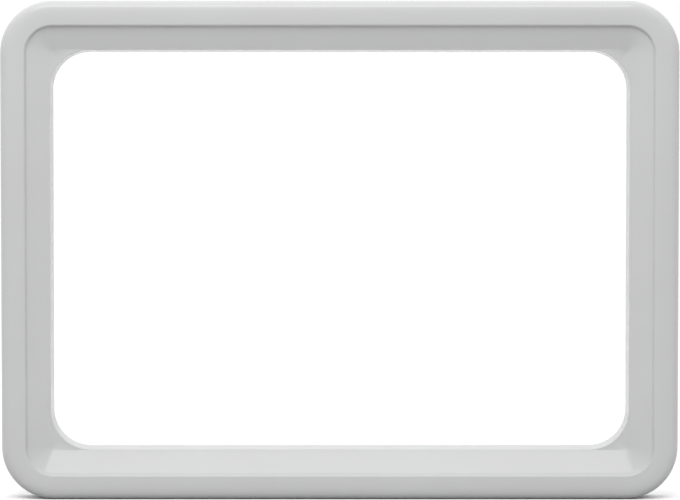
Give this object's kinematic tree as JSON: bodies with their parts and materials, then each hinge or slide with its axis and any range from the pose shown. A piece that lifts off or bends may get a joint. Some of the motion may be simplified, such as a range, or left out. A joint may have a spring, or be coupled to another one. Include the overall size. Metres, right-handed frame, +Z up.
{
  "type": "poster frame",
  "caption": "Moulded plastic wall poster frame with rounded corners, a stepped and sloped rim, clear sheets, turn buttons behind and keyhole plates to hang it by.",
  "frame": {"origin": "the middle of the frame, halfway through its depth", "axes": "+X to the right as seen from the front, +Y from the front to the wall, +Z up"},
  "size_m": [0.33, 0.0216, 0.243],
  "materials": {
    "frame_plastic": "satin gloss, light grey white",
    "button_plastic": "satin gloss, light grey white",
    "clear_sheet": "clear, glossy",
    "zinc_steel": "zinc plated"
  },
  "bodies": {
    "frame": {"front_frame": "frame_plastic", "front_sheet": "clear_sheet", "back_sheet": "clear_sheet", "button_screw_top_left": "zinc_steel", "button_screw_top_middle": "zinc_steel", "button_screw_top_right": "zinc_steel", "button_screw_right": "zinc_steel", "button_screw_bottom_right": "zinc_steel", "button_screw_bottom_middle": "zinc_steel", "button_screw_bottom_left": "zinc_steel", "button_screw_left": "zinc_steel", "hanger_plate_left": "zinc_steel", "hanger_plate_right": "zinc_steel", "hanger_screw_left_upper": "zinc_steel", "hanger_screw_left_lower": "zinc_steel", "hanger_screw_right_upper": "zinc_steel", "hanger_screw_right_lower": "zinc_steel"},
    "turn_button_top_left": {"turn_button_top_left": "button_plastic"},
    "turn_button_top_middle": {"turn_button_top_middle": "button_plastic"},
    "turn_button_top_right": {"turn_button_top_right": "button_plastic"},
    "turn_button_right": {"turn_button_right": "button_plastic"},
    "turn_button_bottom_right": {"turn_button_bottom_right": "button_plastic"},
    "turn_button_bottom_middle": {"turn_button_bottom_middle": "button_plastic"},
    "turn_button_bottom_left": {"turn_button_bottom_left": "button_plastic"},
    "turn_button_left": {"turn_button_left": "button_plastic"}
  },
  "joints": [
    {"name": "turn_button_top_left_swivel", "type": "hinge", "parent": "frame", "child": "turn_button_top_left", "pos_m": [-0.096, 0.008, 0.1133], "axis": [0, 1, 0], "range_deg": [-90, 90]},
    {"name": "turn_button_top_middle_swivel", "type": "hinge", "parent": "frame", "child": "turn_button_top_middle", "pos_m": [0, 0.008, 0.1133], "axis": [0, 1, 0], "range_deg": [-90, 90]},
    {"name": "turn_button_top_right_swivel", "type": "hinge", "parent": "frame", "child": "turn_button_top_right", "pos_m": [0.096, 0.008, 0.1133], "axis": [0, 1, 0], "range_deg": [-90, 90]},
    {"name": "turn_button_right_swivel", "type": "hinge", "parent": "frame", "child": "turn_button_right", "pos_m": [0.1568, 0.008, 0], "axis": [0, 1, 0], "range_deg": [-90, 90]},
    {"name": "turn_button_bottom_right_swivel", "type": "hinge", "parent": "frame", "child": "turn_button_bottom_right", "pos_m": [0.096, 0.008, -0.1133], "axis": [0, 1, 0], "range_deg": [-90, 90]},
    {"name": "turn_button_bottom_middle_swivel", "type": "hinge", "parent": "frame", "child": "turn_button_bottom_middle", "pos_m": [0, 0.008, -0.1133], "axis": [0, 1, 0], "range_deg": [-90, 90]},
    {"name": "turn_button_bottom_left_swivel", "type": "hinge", "parent": "frame", "child": "turn_button_bottom_left", "pos_m": [-0.096, 0.008, -0.1133], "axis": [0, 1, 0], "range_deg": [-90, 90]},
    {"name": "turn_button_left_swivel", "type": "hinge", "parent": "frame", "child": "turn_button_left", "pos_m": [-0.1568, 0.008, 0], "axis": [0, 1, 0], "range_deg": [-90, 90]}
  ]
}
